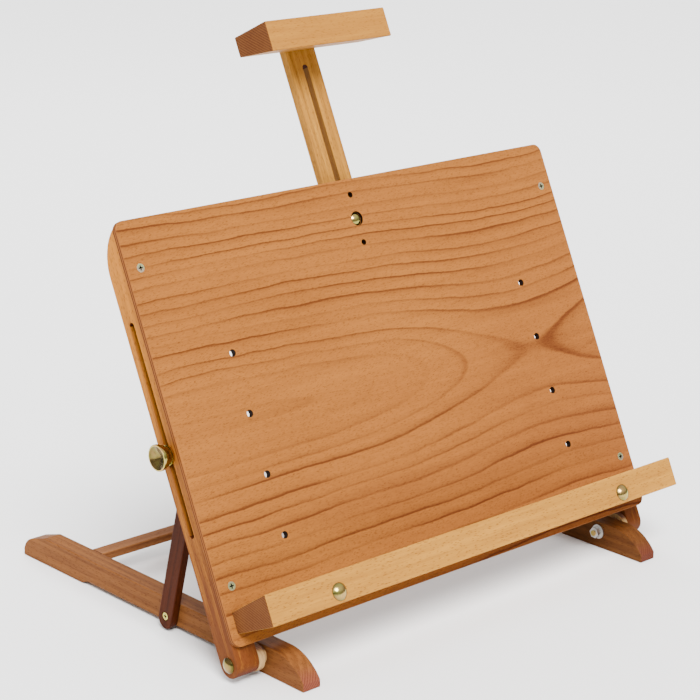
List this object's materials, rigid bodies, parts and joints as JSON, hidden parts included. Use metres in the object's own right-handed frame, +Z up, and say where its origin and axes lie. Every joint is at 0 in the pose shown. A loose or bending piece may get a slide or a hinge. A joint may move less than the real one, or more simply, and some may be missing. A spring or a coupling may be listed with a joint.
{
  "type": "table easel",
  "caption": "Tilting wooden table easel: flat drawing panel on slotted side rails, side strut with clamp knob, canvas ledge and sliding mast with a head block.",
  "frame": {"origin": "on the table, in the middle of the whole width, clamp knob included, and midway along the runners", "axes": "+Z up; +X along the panel, to the right seen from the front; +Y towards the back"},
  "size_m": [0.5674, 0.4344, 0.5515],
  "materials": {
    "panel_wood": "satin oiled beech veneer",
    "ledge_wood": "satin oiled pale beech",
    "mast_wood": "satin oiled beech",
    "rail_wood": "satin oiled beech",
    "runner_wood": "satin oiled beech",
    "spacer_wood": "satin pale beech",
    "strut_wood": "satin oiled red-brown beech",
    "brass": "polished yellow-passivated",
    "zinc_steel": "zinc plated"
  },
  "bodies": {
    "base": {"runner_left": "runner_wood", "runner_right": "runner_wood", "rear_crossbar": "runner_wood", "crossbar_dowels": "ledge_wood", "pivot_spacer_left": "spacer_wood", "pivot_spacer_right": "spacer_wood", "pivot_bolt_left": "brass", "pivot_bolt_right": "brass", "pivot_washers": "zinc_steel", "pivot_nuts": "zinc_steel", "strut_screw": "brass"},
    "board": {"rail_left": "rail_wood", "rail_right": "rail_wood", "panel": "panel_wood", "panel_screws": "brass", "mast_backing": "mast_wood", "guide_pins": "brass", "mast_bolt": "brass", "mast_washer": "brass", "ledge": "ledge_wood", "ledge_bolt_left": "brass", "ledge_bolt_right": "brass", "ledge_washers": "brass"},
    "strut": {"strut": "strut_wood", "strut_bolt": "brass", "strut_washer": "zinc_steel"},
    "clamp_slider": {"clamp_stud": "brass", "clamp_washer": "brass"},
    "clamp_knob": {"clamp_knob": "brass"},
    "mast": {"mast": "mast_wood", "mast_head": "ledge_wood", "head_screws": "brass"},
    "mast_knob": {"mast_knob": "brass"},
    "wing_nut_left": {"ledge_wing_nut_left": "brass"},
    "wing_nut_right": {"ledge_wing_nut_right": "brass"}
  },
  "joints": [
    {"name": "board_tilt", "type": "hinge", "parent": "base", "child": "board", "pos_m": [0.006, -0.15865, 0.0175], "axis": [1, 0, 0], "range_deg": [-62, 4]},
    {"name": "strut_swing", "type": "hinge", "parent": "base", "child": "strut", "pos_m": [-0.23765, -0.02965, 0.0145], "axis": [1, 0, 0], "range_deg": [-98.6, 6.4]},
    {"name": "clamp_slide", "type": "slide", "parent": "board", "child": "clamp_slider", "axis": [0, 0.4226, 0.9063], "range_m": [-0.0077, 0.1192]},
    {"name": "clamp_knob_turn", "type": "hinge", "parent": "clamp_slider", "child": "clamp_knob", "pos_m": [-0.2702, -0.07624, 0.19423], "axis": [1, 0, 0], "continuous": true},
    {"name": "mast_slide", "type": "slide", "parent": "board", "child": "mast", "axis": [0, 0.4226, 0.9063], "range_m": [-0.125, 0.15]},
    {"name": "mast_knob_turn", "type": "hinge", "parent": "board", "child": "mast_knob", "pos_m": [0.008, 0.00087, 0.34871], "axis": [0, -0.9063, 0.4226], "continuous": true},
    {"name": "wing_nut_left_turn", "type": "hinge", "parent": "board", "child": "wing_nut_left", "pos_m": [-0.1836, -0.15322, 0.05447], "axis": [0, -0.9063, 0.4226], "continuous": true},
    {"name": "wing_nut_right_turn", "type": "hinge", "parent": "board", "child": "wing_nut_right", "pos_m": [0.1996, -0.15322, 0.05447], "axis": [0, -0.9063, 0.4226], "continuous": true}
  ],
  "couplings": [
    {"joint": "strut_swing", "follows": "board_tilt", "ratio": 1.5891},
    {"joint": "clamp_slide", "follows": "board_tilt", "m_per_rad": -0.11005}
  ]
}
